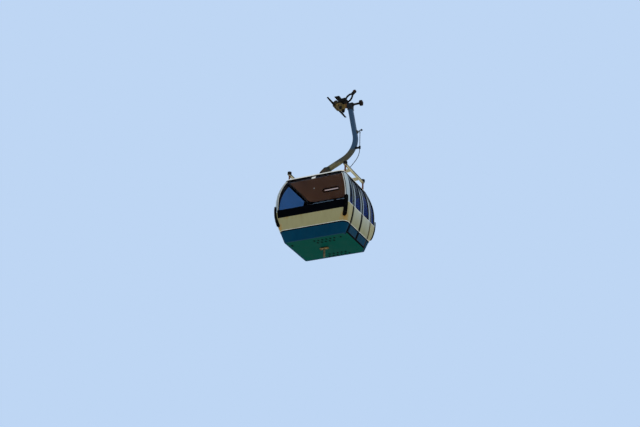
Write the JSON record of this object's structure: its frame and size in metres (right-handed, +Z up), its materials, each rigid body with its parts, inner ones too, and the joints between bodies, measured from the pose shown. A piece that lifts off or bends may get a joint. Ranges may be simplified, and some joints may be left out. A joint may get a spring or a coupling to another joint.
{
  "type": "cable car cabin",
  "caption": "Gondola lift cabin for standing and seated passengers, with curved glazed ends, a pair of door leaves, a bent hanger and a detachable rope grip.",
  "frame": {"origin": "on the rope's centre line, in the middle of the grip's jaws", "axes": "+X along the rope, +Z up, the doors face -Y"},
  "size_m": [1.928, 2.117, 4.824],
  "materials": {
    "skirt_paint": "satin petrol paint",
    "waist_paint": "satin beige paint",
    "belt_panel": "black moulded panel",
    "post_paint": "satin white paint",
    "roof_paint": "white moulded roof",
    "door_paint": "beige over petrol paint",
    "window_glass": "grey tinted",
    "seal_rubber": "black rubber",
    "bumper_rubber": "moulded rubber",
    "floor_paint": "green painted sheet",
    "ceiling_panel": "brown lining",
    "bench_shell": "moulded bench",
    "guide_paint": "ochre paint",
    "frame_paint": "cream paint",
    "damper_rubber": "rubber mounting",
    "roller_rubber": "hard rubber",
    "axle_steel": "zinc plated",
    "hanger_paint": "grey-blue paint",
    "head_casting": "painted casting",
    "grip_casting": "brown-yellow painted casting",
    "lever_steel": "dark forged lever",
    "pin_steel": "greased steel",
    "plate_steel": "worn steel",
    "tongue_steel": "greasy steel",
    "grip_roller": "hard plastic tyre",
    "control_steel": "painted steel",
    "control_roller": "hard plastic",
    "cable_sheath": "black sheath"
  },
  "bodies": {
    "grip": {"grip_body": "grip_casting", "friction_plate": "plate_steel", "spring_cups": "grip_casting", "rope_tongues": "tongue_steel", "pivot_shaft": "pin_steel"},
    "lever": {"moving_jaw": "grip_casting", "lever_pin": "pin_steel", "fork_lever": "lever_steel"},
    "lever_roller": {"lever_roller": "grip_roller"},
    "outer_roller": {"outer_roller": "grip_roller"},
    "guide_roller_aft_closed": {"guide_roller_aft_closed": "roller_rubber"},
    "guide_roller_aft_door": {"guide_roller_aft_door": "roller_rubber"},
    "guide_roller_fore_closed": {"guide_roller_fore_closed": "roller_rubber"},
    "guide_roller_fore_door": {"guide_roller_fore_door": "roller_rubber"},
    "cabin": {"belt_aft": "belt_panel", "belt_closed_side": "belt_panel", "belt_fore": "belt_panel", "bench_aft": "bench_shell", "bench_backs": "bench_shell", "bench_fore": "bench_shell", "cable_clip": "control_steel", "cable_glands": "control_steel", "ceiling_panel": "ceiling_panel", "closed_side_window": "window_glass", "control_bracket": "control_steel", "control_cable": "cable_sheath", "control_lever": "control_steel", "control_roller": "control_roller", "corner_bumpers": "bumper_rubber", "door_glass_aft": "window_glass", "door_glass_fore": "window_glass", "door_leaf_aft": "door_paint", "door_leaf_fore": "door_paint", "door_seals": "seal_rubber", "door_sill": "floor_paint", "end_window_aft": "window_glass", "end_window_fore": "window_glass", "floor_guide": "guide_paint", "floor_mat": "seal_rubber", "floor_pan": "floor_paint", "guide_axles": "axle_steel", "hanger_arm": "hanger_paint", "hanger_foot": "head_casting", "hanger_head": "head_casting", "posts_aft": "post_paint", "posts_fore": "post_paint", "roof_dampers": "damper_rubber", "roof_frame": "frame_paint", "roof_shell": "roof_paint", "side_windows": "window_glass", "skirt_aft": "skirt_paint", "skirt_closed_side": "skirt_paint", "skirt_fore": "skirt_paint", "vent_flaps": "window_glass", "vent_rims": "seal_rubber", "waist_aft": "waist_paint", "waist_closed_side": "waist_paint", "waist_fore": "waist_paint", "window_seals": "seal_rubber"}
  },
  "joints": [
    {"name": "hanger_swing", "type": "hinge", "parent": "grip", "child": "cabin", "pos_m": [0, -0.4, 0], "axis": [0, 1, 0], "range_deg": [-35, 35]},
    {"name": "grip_lever", "type": "hinge", "parent": "grip", "child": "lever", "pos_m": [0, -0.095, 0.11], "axis": [1, 0, 0], "range_deg": [0, 18], "stiffness_Nm_per_rad": 900, "springref_deg": -25.78},
    {"name": "lever_roller_spin", "type": "hinge", "parent": "lever", "child": "lever_roller", "pos_m": [0, -0.517, 0.4], "axis": [1, 0, 0], "continuous": true},
    {"name": "outer_roller_spin", "type": "hinge", "parent": "grip", "child": "outer_roller", "pos_m": [0, -0.716, 0], "axis": [0, 1, 0], "continuous": true},
    {"name": "guide_roller_aft_door_spin", "type": "hinge", "parent": "cabin", "child": "guide_roller_aft_door", "pos_m": [-0.57, -0.548, -2.0605], "axis": [0, 0, 1], "continuous": true},
    {"name": "guide_roller_aft_closed_spin", "type": "hinge", "parent": "cabin", "child": "guide_roller_aft_closed", "pos_m": [-0.57, 1.072, -2.0605], "axis": [0, 0, 1], "continuous": true},
    {"name": "guide_roller_fore_door_spin", "type": "hinge", "parent": "cabin", "child": "guide_roller_fore_door", "pos_m": [0.57, -0.548, -2.0605], "axis": [0, 0, 1], "continuous": true},
    {"name": "guide_roller_fore_closed_spin", "type": "hinge", "parent": "cabin", "child": "guide_roller_fore_closed", "pos_m": [0.57, 1.072, -2.0605], "axis": [0, 0, 1], "continuous": true}
  ]
}
